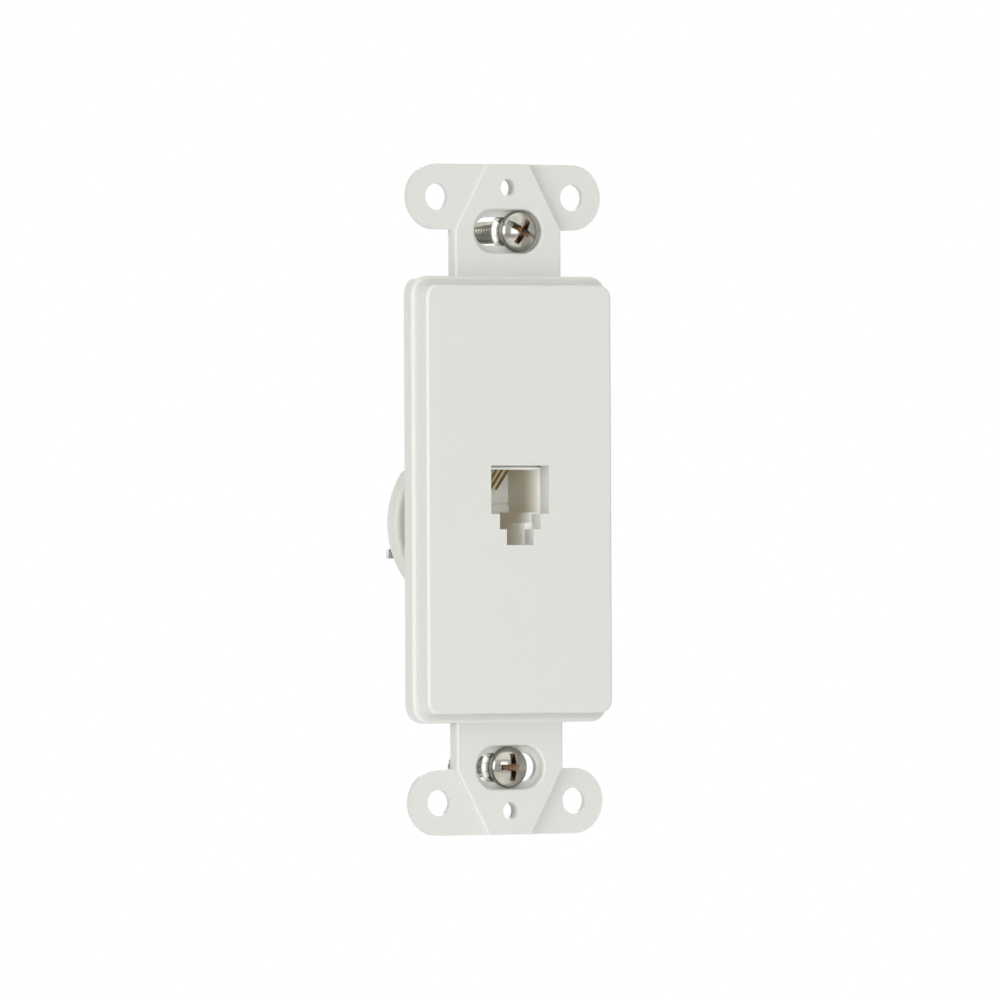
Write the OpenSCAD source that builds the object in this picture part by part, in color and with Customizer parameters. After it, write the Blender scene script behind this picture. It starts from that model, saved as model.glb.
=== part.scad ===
// Telephone wall socket: a strap with a raised face, a four-wire jack and a round terminal base.
// X runs to the right seen from the front, Z up, Y into the wall; Y = 0 is the strap's rear plane.

/* [Strap] */
// Overall height of the strap
strap_h = 104.2; // [98:0.1:112]
// Width of the strap between an ear and the body
neck_w = 19.1; // [17:0.1:22]
// Thickness of the strap
neck_t = 2.25; // [1.8:0.05:3]
// Width across a pair of ears
ear_w = 34.8; // [32:0.1:38]
// Radius of the ear ends
ear_r = 5.1; // [4.2:0.05:5.6]
// Thickness of the ears
ear_t = 1.0; // [0.7:0.05:1.6]
// Distance between the two holes of a pair of ears
ear_hole_pitch = 24.4; // [23:0.1:26]
// Diameter of the ear holes
ear_hole_d = 4.1; // [3:0.05:5]
// Width of the raised rib where it ends at the strap's end
rib_end_w = 7.7; // [5:0.1:12]
// Distance between the two cover plate holes
cover_pitch = 96.84; // [95:0.02:98]
// Diameter of the cover plate holes
cover_hole_d = 2.75; // [2.4:0.05:3.4]
// Rounding of the strap's front edges
strap_edge = 0.35; // [0.1:0.05:0.6]

/* [Screw slots] */
// Distance between the two mounting screws
slot_pitch = 83.3; // [82:0.1:84.5]
// Length of a slot
slot_l = 10.8; // [9:0.1:12]
// Height of a slot
slot_h = 4.45; // [4:0.05:4.8]
// Length of the dished seat around a slot
seat_l = 13; // [12.5:0.1:14.5]
// Height of the dished seat
seat_h = 7.6; // [7.5:0.05:8.4]
// Depth of the dished seat
seat_depth = 1.3; // [0.9:0.05:1.4]
// Rounding of the seat's rim
seat_edge = 0.45; // [0.1:0.05:0.6]

/* [Body] */
// Width of the flange
flange_w = 35.15; // [34:0.05:37]
// Height of the flange
flange_h = 69.4; // [66.5:0.1:72]
// Height of the flange's front above the rear plane
flange_front = 2.6; // [2.4:0.05:3.2]
// Corner radius of the flange
flange_r = 2.9; // [1.5:0.1:4]
// Rounding of the flange's front edge
flange_edge = 0.6; // [0.2:0.05:0.8]
// Width of the face
face_w = 33.35; // [32:0.05:33.6]
// Height of the face
face_h = 66.55; // [64:0.05:68]
// Height of the face's front above the rear plane
face_front = 5.55; // [5:0.05:6.5]
// Corner radius of the face
face_r = 2; // [1:0.1:3.5]
// Rounding of the face's front edge
face_edge = 0.5; // [0.2:0.05:0.8]
// Wall of the hollow body
wall = 1.9; // [1.4:0.05:2.3]
// Thickness of the stiffening ribs behind the face
rib_t = 1.2; // [0.8:0.1:2]

/* [Plug opening] */
// Width of the opening for the plug
mouth_w = 10.5; // [10.2:0.05:11.5]
// Top of the opening above the centre
mouth_top = 5.24; // [5:0.02:5.6]
// Bottom of the opening below the centre
mouth_bottom = 2.25; // [2.1:0.05:2.6]
// Width of the first step of the keyway
step1_w = 7.4; // [7:0.05:8]
// Bottom of the first step below the centre
step1_bottom = 4.67; // [3.9:0.01:5]
// Width of the second step of the keyway
step2_w = 4.9; // [4.6:0.05:5.4]
// Bottom of the second step below the centre
step2_bottom = 7.1; // [6.8:0.05:7.4]
// Thickness of the pad that surrounds the opening behind the face
pad_t = 0.9; // [0.5:0.05:1.2]

/* [Jack] */
// Height of the plug cavity
cavity_h = 6.67; // [6.4:0.01:6.8]
// Floor of the plug cavity below the centre
cavity_floor = 2.05; // [2:0.01:2.1]
// Play between the jack's cavity and the edge of the opening, each side
mouth_step = 0.35; // [0.2:0.05:0.5]
// Height of the first step's floor above the opening's first step
step1_rise = 1.0; // [0.5:0.05:1.2]
// Depth of the lead-in chamfer at the jack's front
lead_in = 1.0; // [0.5:0.1:1.5]
// Depth of the plug cavity from the jack's front
cavity_depth = 9.2; // [8.8:0.1:9.4]
// Side and floor wall of the jack housing
jack_wall = 1.5; // [1:0.1:1.8]
// Height of the jack housing's top above the centre
jack_top = 8.3; // [8:0.1:9]
// Depth of the jack housing
jack_depth = 11.85; // [11.7:0.05:12.5]
// Height of the sloping foot of the cavity's back wall
foot_h = 1.2; // [0.8:0.1:1.4]
// Depth of the sloping foot
foot_t = 0.4; // [0.2:0.05:0.6]
// Height of the jack's lip above the cavity
lip_h = 0.33; // [0.2:0.01:0.4]
// Width of the jack's fixing plate
plate_w = 19; // [18:0.1:21]
// Thickness of the jack's fixing plate
plate_t = 1.5; // [1.2:0.1:1.8]
// Clearance between parts that fit together
fit = 0.1; // [0.05:0.01:0.15]

/* [Contacts] */
// Distance between neighbouring contact wires
wire_pitch = 1.02; // [0.95:0.01:1.1]
// Diameter of a contact wire
wire_d = 0.45; // [0.35:0.01:0.5]
// Slope of the contact springs below the horizontal
spring_angle = 39; // [35:1:43]
// Length of the sloping part of a contact spring
spring_l = 5.3; // [4.6:0.1:5.5]
// Radius of the contact's front bend
nose_r = 1.0; // [0.9:0.05:1.05]
// Height of the contact wires above the centre
wire_z = 6.6; // [6.5:0.02:6.7]
// Diameter of an insulated lead
lead_d = 0.9; // [0.7:0.02:0.94]

/* [Terminals] */
// Radius of the round terminal base
base_r = 13.8; // [13:0.1:15]
// Thickness of the terminal base
base_t = 2.8; // [2.2:0.1:3.2]
// Centre of the terminal base below the centre
base_drop = 3.7; // [3.2:0.1:4]
// Flat top of the terminal base above the centre
base_flat = 4.5; // [4:0.1:4.6]
// Distance of an upper terminal from the middle
terminal_x = 7.8; // [7.8:0.1:8.4]
// How much further out the lower terminals stand
terminal_splay = 0.7; // [0:0.1:0.8]
// Height of the upper terminals below the centre
terminal_upper = 0.8; // [0.6:0.1:1]
// Distance between the upper and the lower terminal
terminal_pitch = 7.6; // [7.5:0.1:8]
// Diameter of a terminal screw's shank
terminal_shank_d = 2.9; // [2.5:0.1:3.1]
// Diameter of a terminal screw's head
terminal_head_d = 5.5; // [5:0.1:5.8]
// Height of a terminal screw's head
terminal_head_h = 1.7; // [1.3:0.1:2]
// Side of the square clamp washer
washer_w = 6.0; // [5.9:0.1:6.3]
// Corner radius of the clamp washer
washer_r = 1.5; // [0.5:0.1:2]
// Thickness of the clamp washer
washer_t = 0.6; // [0.4:0.05:0.8]
// Thickness of the spade lug
lug_t = 0.45; // [0.3:0.05:0.6]

/* [Mounting screws] */
// Diameter of the screw's thread
screw_d = 3.5; // [3:0.05:3.8]
// Diameter of the plain neck under the head
screw_neck_d = 3.0; // [2.8:0.05:3.1]
// Diameter of the head
screw_head_d = 6.3; // [6:0.02:6.5]
// Height of the head
screw_head_h = 2.35; // [1.9:0.05:2.6]
// Length of the screw under the head
screw_l = 16.35; // [14:0.05:20]
// Sideways place of the upper screw in its slot
screw_shift = 2.2; // [0:0.1:3]
// Turn of the upper screw's slot
screw_turn = 30; // [0:1:45]
// Diameter of the push-on retaining washer
retainer_d = 7.2; // [6.6:0.1:8]
// Thickness of the push-on retaining washer
retainer_t = 0.4; // [0.3:0.05:0.6]
// Height of the retaining washer's dish
retainer_dish = 0.45; // [0.2:0.05:0.6]

/* [Hidden] */

$fn = 48;

white = [0.87, 0.87, 0.85];
cream = [0.84, 0.82, 0.76];
steel = [0.72, 0.72, 0.70];
gold = [0.80, 0.64, 0.32];
lead_colours = [[0.12, 0.12, 0.13], [0.72, 0.12, 0.10], [0.10, 0.42, 0.20], [0.88, 0.74, 0.15]];

// A cut runs this far past the face that it opens
past = 0.5;
// Thickness of one layer of a rounded edge
layer = 0.01;

ear_z = strap_h/2 - ear_r;
ear_x = ear_w/2 - ear_r;
// The rib starts to narrow level with the ears' inner edges
rib_shoulder = ear_z - ear_r;
seat_y = seat_depth - neck_t;

// Inside of the hollow body
hollow_w = face_w - 2*wall;
hollow_h = face_h - 2*wall;
face_back = wall - face_front;
pad_back = face_back + pad_t;
pad_margin = 1.9;
// The stiffening ribs end this far in front of the rear plane
rib_gap = 0.6;
hollow_r = 1;

// Snap arms that hold the jack's fixing plate
arm_h = 6;
arm_t = 1.3;
catch_reach = 0.7;
catch_land = 0.2;
catch_slope = 0.8;

// Jack housing, from its front against the pad to its rear on the terminal base
jack_front = pad_back;
jack_rear = jack_front + jack_depth;
cavity_w = mouth_w - 2*mouth_step;
cavity_top = cavity_h - cavity_floor;
cavity_back = jack_front + cavity_depth;
key_ease = 0.1;
key1_w = step1_w - 2*mouth_step + key_ease;
key2_w = step2_w - 2*mouth_step;
key1_floor = step1_bottom - step1_rise;
jack_w = cavity_w + 2*jack_wall;
keel_wall = jack_wall + 0.3;
jack_bottom = step2_bottom + keel_wall;
// Behind the cavity the housing is narrower, so the bosses of the base pass beside it
boss_r = 2.7;
back_wall = 0.55;
waist_y = cavity_back + back_wall;
waist_w = 2*(terminal_x - boss_r - 2*fit);
boss_l = jack_rear - waist_y - 2*fit;
// Groove over the lip and groove over the foot of the back wall
lip_groove_d = 0.5;
lip_groove_over = 0.4;
foot_groove = 0.25;
// Relief in each side of the housing
relief_d = 0.5;
relief_end = 1.2;
relief_over = 1.5;

// Contact carrier and the pocket that it slides into from behind
carrier_w = 4*wire_pitch + 1.7;
flange_out = 0.9;
ledge_z = 5.9;
pocket_top = 7.3;
nose_y = 1.2;
nose_z = wire_z - nose_r;
spring_room = 0.3;
pocket_front = nose_y - nose_r - wire_d/2 - spring_room;
carrier_rear = jack_rear - spring_room;
comb_wall = 0.4;
comb_start = nose_y + 0.4;
ledge_start = nose_y + 0.8;
undercut_end = nose_y + 3.2;
tail_end = jack_rear + 0.75;

// Terminal base
base_front = jack_rear;
base_rear = base_front + base_t;
base_z = -base_drop;
screw_play = 0.05;
stake_x = 3.6;
stake_z = -terminal_upper - terminal_pitch/2;
stake_r = 1.1;
stake_head_r = 1.6;
stake_head_h = 0.7;
stake_taper = 0.5;
// A terminal screw's bore ends in its boss, and the screw's tip ends short of that
bore_floor = 0.6;
tip_gap = 0.2;
// Barrier between the upper and the lower terminal
barrier_l = 6.4;
barrier_h = 1.2;
barrier_t = 0.7;
barrier_shift = 0.8;

// Terminal stack: lug on the base, washer on the lug, head on the washer
washer_y = base_rear + lug_t;
terminal_seat_y = washer_y + washer_t;
tab_w = 1.5;
tab_reach = 4.9;
lug_r = 2.7;
shank_play = 0.15;
shank_hole_d = terminal_shank_d + 2*shank_play;
barrel_r = 0.95;
barrel_bore_r = lead_d/2 + screw_play;
barrel_y = base_rear + barrel_r + screw_play;
barrel_gap = 0.3;
barrel_start = washer_w/2 + barrel_gap;
barrel_l = 2.0;
lead_bend = 1.1;
lead_straight = 0.15;
drop_bend = barrel_y - tail_end - lead_straight;

// Screw drives, as shares of a head's diameter and height
dome_share = 0.68;
drive_w_share = 0.15;
slot_depth_share = 0.45;
recess_r_share = 0.42;
recess_depth_share = 0.72;
recess_taper = 0.35;

// Mounting screw
tip_chamfer = 0.8;
thread_gap = 0.1;

// Dished retainer: its cone rests on the edges of the slot
retainer_play = 0.03;
retainer_seat = 0.05;
retainer_bore_r = screw_neck_d/2 + retainer_play;
retainer_slope = retainer_dish/(retainer_d/2 - retainer_bore_r);
retainer_rim_y = retainer_slope*(retainer_d - slot_h)/2 + retainer_seat;
retainer_lip_y = retainer_rim_y - retainer_dish;
thread_start = retainer_rim_y + retainer_t + thread_gap;
tooth_slit_w = 0.5;
tooth_slit_r = retainer_bore_r + 1.05;
tooth_pitch = 72;

function side(k) = k < 3 ? -1 : 1;
function is_upper(k) = k == 1 || k == 4;
function wire_x(k) = (k - 2.5)*wire_pitch;
function terminal_z(k) = is_upper(k) ? -terminal_upper : -terminal_upper - terminal_pitch;
function reach_x(k) = is_upper(k) ? terminal_x : terminal_x + terminal_splay;

// Draws a front-view outline and gives it depth from y0 to y1
module slab(y0, y1) {
    translate([0, y1, 0])
        rotate([90, 0, 0])
            linear_extrude(height = y1 - y0)
                children();
}

// A box from its corners
module block(low, high) {
    translate(low)
        cube(high - low);
}

module rounded_rectangle(w, h, r) {
    for (sx = [-1, 1])
        for (sz = [-1, 1])
            translate([sx*(w/2 - r), sz*(h/2 - r)])
                circle(r, $fn = 32);
    square([w - 2*r, h], center = true);
    square([w, h - 2*r], center = true);
}

// A plate with a rounded front edge: thin layers that draw in towards the front
module soft_plate(w, h, r, front, back, edge) {
    hull() {
        slab(-front + edge, back)
            rounded_rectangle(w, h, r);
        for (a = [22.5, 45, 67.5, 90])
            slab(-front + edge*(1 - sin(a)), -front + edge*(1 - sin(a)) + layer)
                rounded_rectangle(w - 2*edge*(1 - cos(a)), h - 2*edge*(1 - cos(a)), r - edge*(1 - cos(a)));
    }
}

// Outline of one end of the raised rib, drawn in from its edge
module rib_outline(inset) {
    half = neck_w/2 - inset;
    tip = rib_end_w/2 - inset*0.6;
    polygon([[-half, flange_h/2 - 2], [half, flange_h/2 - 2], [half, rib_shoulder],
        [tip, strap_h/2], [-tip, strap_h/2], [-half, rib_shoulder]]);
}

module rib_end() {
    hull() {
        slab(-neck_t + strap_edge, 0)
            rib_outline(0);
        for (a = [30, 60, 90])
            slab(-neck_t + strap_edge*(1 - sin(a)), -neck_t + strap_edge*(1 - sin(a)) + layer)
                rib_outline(strap_edge*(1 - cos(a)));
    }
}

module ear_pair() {
    slab(-ear_t, 0) {
        for (sx = [-1, 1])
            translate([sx*ear_x, ear_z])
                circle(ear_r);
        translate([-ear_x, ear_z - ear_r])
            square([2*ear_x, 2*ear_r]);
    }
}

// Profile of the dished seat from its middle to its rim, with the rim rounded over
function seat_rim(half) = [for (a = [0:22.5:90])
    [half - seat_edge*sin(a), -neck_t + seat_edge*(1 - cos(a))]];

module seat_profile() {
    half = seat_h/2;
    polygon(concat([[0, -neck_t - past], [half, -neck_t - past]], seat_rim(half), [[half - seat_edge, seat_y], [0, seat_y]]));
}

module seat_cut() {
    run = (seat_l - seat_h)/2;
    for (sx = [-1, 1])
        translate([sx*run, 0, 0])
            rotate([-90, 0, 0])
                rotate_extrude()
                    seat_profile();
    for (flip = [0, 1])
        mirror([0, 0, flip])
            translate([-run, 0, 0])
                rotate([90, 0, 90])
                    linear_extrude(height = 2*run)
                        seat_section();
}

module seat_section() {
    half = seat_h/2;
    rim = seat_rim(half);
    polygon(concat([[-neck_t - past, 0], [-neck_t - past, half]], [for (p = rim) [p[1], p[0]]],
        [[seat_y, half - seat_edge], [seat_y, 0]]));
}

module slot_cut() {
    run = (slot_l - slot_h)/2;
    slab(-neck_t - past, past) {
        for (sx = [-1, 1])
            translate([sx*run, 0])
                circle(slot_h/2);
        square([2*run, slot_h], center = true);
    }
}

// Outline of the stepped opening, seen from the front
module mouth_outline() {
    translate([-mouth_w/2, -mouth_bottom])
        square([mouth_w, mouth_top + mouth_bottom]);
    translate([-step1_w/2, -step1_bottom])
        square([step1_w, step1_bottom]);
    translate([-step2_w/2, -step2_bottom])
        square([step2_w, step2_bottom]);
}

module hole_along_y(d, y0, y1) {
    translate([0, y1, 0])
        rotate([90, 0, 0])
            cylinder(d = d, h = y1 - y0);
}

module snap_arm() {
    inner = plate_w/2 + fit;
    tip = inner - catch_reach;
    catch_y = jack_front + plate_t + fit/2;
    slope_y = catch_y + catch_land;
    end_y = slope_y + catch_slope;
    translate([0, 0, -arm_h/2])
        linear_extrude(height = arm_h)
            polygon([[inner, face_back - layer], [inner + arm_t, face_back - layer], [inner + arm_t, end_y],
                [inner, end_y], [tip, slope_y], [tip, catch_y], [inner, catch_y]]);
}

module frame_moulding() {
    color(white)
    difference() {
        union() {
            difference() {
                union() {
                    soft_plate(flange_w, flange_h, flange_r, flange_front, 0, flange_edge);
                    soft_plate(face_w, face_h, face_r, face_front, -wall, face_edge);
                }
                slab(face_back, past)
                    rounded_rectangle(hollow_w, hollow_h, hollow_r);
            }
            pad_and_ribs();
            for (sx = [0, 1])
                mirror([sx, 0, 0])
                    snap_arm();
            for (sz = [0, 1])
                mirror([0, 0, sz]) {
                    ear_pair();
                    rib_end();
                }
        }
        slab(-face_front - past, past)
            mouth_outline();
        for (sz = [-1, 1]) {
            translate([0, 0, sz*slot_pitch/2]) {
                slot_cut();
                seat_cut();
            }
            translate([0, 0, sz*cover_pitch/2])
                hole_along_y(cover_hole_d, -neck_t - past, past);
            for (sx = [-1, 1])
                translate([sx*ear_hole_pitch/2, 0, sz*ear_z])
                    hole_along_y(ear_hole_d, -ear_t - past, past);
        }
    }
}

// Pad that the jack seats on and the ribs that stiffen the face
module pad_and_ribs() {
    pad_w = mouth_w + 2*pad_margin;
    pad_h = mouth_top + step2_bottom + 2*pad_margin;
    slab(face_back - layer, pad_back)
        translate([-pad_w/2, -step2_bottom - pad_margin])
            square([pad_w, pad_h]);
    for (z = [-hollow_h/3, hollow_h/3])
        block([-hollow_w/2 - layer, face_back - layer, z - rib_t/2], [hollow_w/2 + layer, -rib_gap, z + rib_t/2]);
    for (x = [-hollow_w/4, hollow_w/4])
        for (sz = [-1, 1])
            translate([0, 0, sz*(hollow_h/3 + hollow_h/2)/2])
                block([x - rib_t/2, face_back - layer, -hollow_h/12 - layer], [x + rib_t/2, -rib_gap, hollow_h/12 + layer]);
}

// Cavity between two depths, widened by flare at its front
module tier_cut(w, low, high, depth_end) {
    block([-w/2, jack_front - past, low], [w/2, depth_end, high]);
    translate([0, 0, low])
        linear_extrude(height = high - low)
            polygon([[-w/2 - mouth_step, jack_front - past], [w/2 + mouth_step, jack_front - past],
                [w/2 + mouth_step, jack_front], [w/2, jack_front + lead_in],
                [-w/2, jack_front + lead_in], [-w/2 - mouth_step, jack_front]]);
}

module jack_housing() {
    color(cream)
    difference() {
        union() {
            block([-jack_w/2, jack_front, -jack_bottom], [jack_w/2, waist_y, jack_top]);
            block([-waist_w/2, jack_front, -jack_bottom], [waist_w/2, jack_rear, jack_top]);
            block([-plate_w/2, jack_front, -jack_bottom], [plate_w/2, jack_front + plate_t, jack_top]);
            for (sx = [-1, 1])
                translate([sx*stake_x, 0, stake_z]) {
                    hole_along_y(2*stake_r, jack_rear - layer, base_rear + layer);
                    stake_head();
                }
        }
        tier_cut(cavity_w, -cavity_floor, cavity_top, cavity_back);
        tier_cut(key1_w, -key1_floor, -cavity_floor + layer, cavity_back);
        tier_cut(key2_w, -step2_bottom, -key1_floor + layer, cavity_back);
        block([-cavity_w/2, cavity_back - layer, foot_h - cavity_floor],
            [cavity_w/2, cavity_back + foot_groove, foot_h - cavity_floor + foot_groove]);
        block([-mouth_w/2 - past, jack_front - past, cavity_top + lip_h],
            [mouth_w/2 + past, jack_front + lip_groove_d, mouth_top + lip_groove_over]);
        // Throat over the cavity and the wider pocket above it, both open to the rear
        block([-carrier_w/2 - fit, pocket_front, cavity_top - layer],
            [carrier_w/2 + fit, jack_rear + past, ledge_z + layer]);
        block([-carrier_w/2 - flange_out - fit, pocket_front, ledge_z],
            [carrier_w/2 + flange_out + fit, jack_rear + past, pocket_top]);
        for (sx = [-1, 1])
            translate([sx*jack_w/2, 0, 0])
                block([-relief_d, jack_front + plate_t + relief_end, -key1_floor],
                    [relief_d, waist_y - relief_end, cavity_top - relief_over]);
    }
    color(cream)
    cavity_foot();
}

// Sloping foot of the back wall, which the nose of the plug rides up on
module cavity_foot() {
    translate([-cavity_w/2 - layer, 0, 0])
        rotate([90, 0, 90])
            linear_extrude(height = cavity_w + 2*layer)
                polygon([[cavity_back - foot_t, -cavity_floor - layer], [cavity_back + layer, -cavity_floor - layer],
                    [cavity_back + layer, foot_h - cavity_floor], [cavity_back, foot_h - cavity_floor]]);
}

// Domed head of a heat-formed stake
module stake_head() {
    translate([0, base_rear, 0])
        rotate([-90, 0, 0])
            cylinder(r1 = stake_head_r, r2 = stake_head_r - stake_taper, h = stake_head_h);
}

module contact_carrier() {
    color(cream)
    difference() {
        union() {
            block([-carrier_w/2, nose_y, cavity_top + fit], [carrier_w/2, carrier_rear, wire_z - wire_d/2 - fit/2]);
            translate([-carrier_w/2, nose_y, nose_z])
                rotate([0, 90, 0])
                    cylinder(r = nose_r - wire_d/2 - fit, h = carrier_w);
            for (sx = [-1, 1])
                translate([sx*(carrier_w + flange_out)/2, 0, 0])
                    block([-flange_out/2 - layer, ledge_start, ledge_z], [flange_out/2 + layer, carrier_rear, pocket_top - 2*fit]);
            for (i = [-2:2])
                block([i*wire_pitch - comb_wall/2, comb_start, nose_z], [i*wire_pitch + comb_wall/2, carrier_rear, pocket_top - 2*fit]);
        }
        // The block is undercut behind the springs, so they can flex upwards
        block([-2*wire_pitch, nose_y - nose_r, cavity_top - past],
            [2*wire_pitch, undercut_end, cavity_top + 3*fit]);
    }
}

// Side view of a contact spring: tail, run along the comb, bend round the nose, slope into the cavity
function spring_route() = concat(
    [[tail_end, wire_z]],
    [for (a = [0:20:180 - spring_angle]) [nose_y - nose_r*sin(a), nose_z + nose_r*cos(a)]],
    [spring_end(0), spring_end(spring_l)]);
function spring_end(run) = let (a = 180 - spring_angle)
    [nose_y - nose_r*sin(a) + run*cos(spring_angle), nose_z + nose_r*cos(a) - run*sin(spring_angle)];

module contact_wire(k) {
    route = [for (p = spring_route()) [wire_x(k), p[0], p[1]]];
    color(gold)
    sweep(route, wire_d/2, [1, 0, 0], 8);
}

function unit(v) = v/norm(v);
function heading(route, i) = let (last = len(route) - 1)
    i == 0 ? unit(route[1] - route[0]) :
    i == last ? unit(route[last] - route[last - 1]) :
    unit(unit(route[i] - route[i - 1]) + unit(route[i + 1] - route[i]));

// A round tube along a route that never runs parallel to the reference direction
module sweep(route, r, ref, sides) {
    n = len(route);
    rings = [for (i = [0:n - 1])
        let (t = heading(route, i), u = unit(cross(t, ref)), v = cross(t, u))
            for (j = [0:sides - 1]) route[i] + r*(cos(360*j/sides)*u + sin(360*j/sides)*v)];
    walls = [for (i = [0:n - 2]) for (j = [0:sides - 1])
        [i*sides + j, i*sides + (j + 1)%sides, (i + 1)*sides + (j + 1)%sides, (i + 1)*sides + j]];
    front = [for (j = [sides - 1:-1:0]) j];
    back = [for (j = [0:sides - 1]) (n - 1)*sides + j];
    polyhedron(points = rings, faces = concat([front, back], walls));
}

// Route of a lead: out of the carrier, over the flat, down the base and into its lug
function lead_route(k) = let (x = wire_x(k), s = side(k), z = terminal_z(k), b = drop_bend, c = lead_bend) concat(
    [[x, tail_end, wire_z]],
    [for (a = [0:22.5:90]) [x, barrel_y - b + b*sin(a), wire_z - b + b*cos(a)]],
    [for (a = [0:22.5:90]) [x + s*c*(1 - cos(a)), barrel_y, z + c - c*sin(a)]],
    [[s*(reach_x(k) - barrel_start - fit), barrel_y, z]]);

module lead_wire(k) {
    color(lead_colours[k - 1])
    sweep(lead_route(k), lead_d/2, [0.6, 0.5, 0.624], 8);
}

module spade_lug(k) {
    s = side(k);
    color(gold)
    translate([s*reach_x(k), 0, terminal_z(k)])
        mirror([s > 0 ? 1 : 0, 0, 0])
            difference() {
                union() {
                    slab(base_rear, base_rear + lug_t) {
                        circle(lug_r);
                        translate([0, -barrel_r])
                            square([barrel_start + barrel_l, 2*barrel_r]);
                    }
                    translate([barrel_start, barrel_y, 0])
                        rotate([0, 90, 0])
                            cylinder(r = barrel_r, h = barrel_l);
                }
                slab(base_rear - past, base_rear + lug_t + past) {
                    circle(d = shank_hole_d);
                    translate([-lug_r - past, -shank_hole_d/2])
                        square([lug_r + past, shank_hole_d]);
                }
                translate([barrel_start - past, barrel_y, 0])
                    rotate([0, 90, 0])
                        cylinder(r = barrel_bore_r, h = barrel_l + 2*past);
            }
}

module clamp_washer(k) {
    s = side(k);
    color(steel)
    translate([s*reach_x(k), 0, terminal_z(k)])
        difference() {
            slab(washer_y, terminal_seat_y) {
                rounded_rectangle(washer_w, washer_w, washer_r);
                translate([s > 0 ? 0 : -tab_reach, -tab_w/2])
                    square([tab_reach, tab_w]);
            }
            hole_along_y(shank_hole_d, washer_y - past, terminal_seat_y + past);
        }
}

// A domed head with a straight slot and a cross recess, its underside at y = 0 and facing +Y
module drive_head(d, h, turn) {
    drive_w = d*drive_w_share;
    recess_r = d*recess_r_share;
    recess_depth = h*recess_depth_share;
    rotate([0, turn, 0])
        difference() {
            rotate([90, 0, 0])
                rotate_extrude()
                    intersection() {
                        square([d/2, h]);
                        translate([0, h - d*dome_share])
                            circle(d*dome_share, $fn = 64);
                    }
            block([-d, -h - past, -drive_w/2], [d, -h + h*slot_depth_share, drive_w/2]);
            intersection() {
                union() {
                    block([-d, -h - past, -drive_w/2], [d, 0, drive_w/2]);
                    block([-drive_w/2, -h - past, -d], [drive_w/2, 0, d]);
                }
                translate([0, -h, 0])
                    rotate([-90, 0, 0])
                        cylinder(r1 = recess_r, r2 = recess_r*recess_taper, h = recess_depth);
            }
        }
}

module terminal_screw(k) {
    color(steel)
    translate([side(k)*reach_x(k), terminal_seat_y, terminal_z(k)]) {
        rotate([0, 0, 180])
            drive_head(terminal_head_d, terminal_head_h, 0);
        hole_along_y(terminal_shank_d, base_front - boss_l + bore_floor + tip_gap - terminal_seat_y, layer);
    }
}

module terminal_base() {
    color(cream)
    difference() {
        union() {
            slab(base_front, base_rear)
                intersection() {
                    translate([0, base_z])
                        circle(base_r, $fn = 96);
                    translate([-base_r, base_z - base_r])
                        square([2*base_r, base_flat - base_z + base_r]);
                }
            for (k = [1:4])
                translate([side(k)*reach_x(k), 0, terminal_z(k)])
                    hole_along_y(2*boss_r, base_front - boss_l, base_front + layer);
            for (sx = [-1, 1])
                translate([sx*(terminal_x + barrier_shift), 0, stake_z])
                    block([-barrier_l/2, base_rear - layer, -barrier_t/2],
                        [barrier_l/2, base_rear + barrier_h, barrier_t/2]);
        }
        for (k = [1:4])
            translate([side(k)*reach_x(k), 0, terminal_z(k)])
                hole_along_y(terminal_shank_d + 2*screw_play, base_front - boss_l + bore_floor, base_rear + past);
        for (sx = [-1, 1])
            translate([sx*stake_x, 0, stake_z])
                hole_along_y(2*stake_r + fit, base_front - past, base_rear + past);
    }
}

module mounting_screw(x, z, turn) {
    color(steel)
    translate([x, seat_y, z]) {
        drive_head(screw_head_d, screw_head_h, turn);
        hole_along_y(screw_neck_d, -layer, thread_start - seat_y + layer);
        hole_along_y(screw_d, thread_start - seat_y, screw_l - tip_chamfer);
        translate([0, screw_l - tip_chamfer, 0])
            rotate([-90, 0, 0])
                cylinder(d1 = screw_d, d2 = screw_d - 2*tip_chamfer, h = tip_chamfer);
    }
}

// A dished washer, pushed over the thread onto the neck, with slits that leave its teeth
module screw_retainer(x, z) {
    rim = retainer_d/2;
    color(steel)
    translate([x, 0, z])
        difference() {
            rotate([-90, 0, 0])
                rotate_extrude()
                    polygon([[retainer_bore_r, retainer_lip_y], [rim, retainer_rim_y],
                        [rim, retainer_rim_y + retainer_t], [retainer_bore_r, retainer_lip_y + retainer_t]]);
            for (a = [0:tooth_pitch:360 - tooth_pitch])
                rotate([0, a, 0])
                    block([0, retainer_lip_y - past, -tooth_slit_w/2], [tooth_slit_r, thread_start, tooth_slit_w/2]);
        }
}

frame_moulding();
jack_housing();
contact_carrier();
contact_wire(1);  // contact_wire_1
contact_wire(2);  // contact_wire_2
contact_wire(3);  // contact_wire_3
contact_wire(4);  // contact_wire_4
terminal_base();
terminal_screw(1);  // terminal_screw_1
terminal_screw(2);  // terminal_screw_2
terminal_screw(3);  // terminal_screw_3
terminal_screw(4);  // terminal_screw_4
clamp_washer(1);  // clamp_washer_1
clamp_washer(2);  // clamp_washer_2
clamp_washer(3);  // clamp_washer_3
clamp_washer(4);  // clamp_washer_4
spade_lug(1);  // spade_lug_1
spade_lug(2);  // spade_lug_2
spade_lug(3);  // spade_lug_3
spade_lug(4);  // spade_lug_4
lead_wire(1);  // lead_wire_1
lead_wire(2);  // lead_wire_2
lead_wire(3);  // lead_wire_3
lead_wire(4);  // lead_wire_4
mounting_screw(screw_shift, slot_pitch/2, screw_turn);  // mounting_screw_upper
mounting_screw(0, -slot_pitch/2, 0);  // mounting_screw_lower
screw_retainer(screw_shift, slot_pitch/2);  // screw_retainer_upper
screw_retainer(0, -slot_pitch/2);  // screw_retainer_lower
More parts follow.
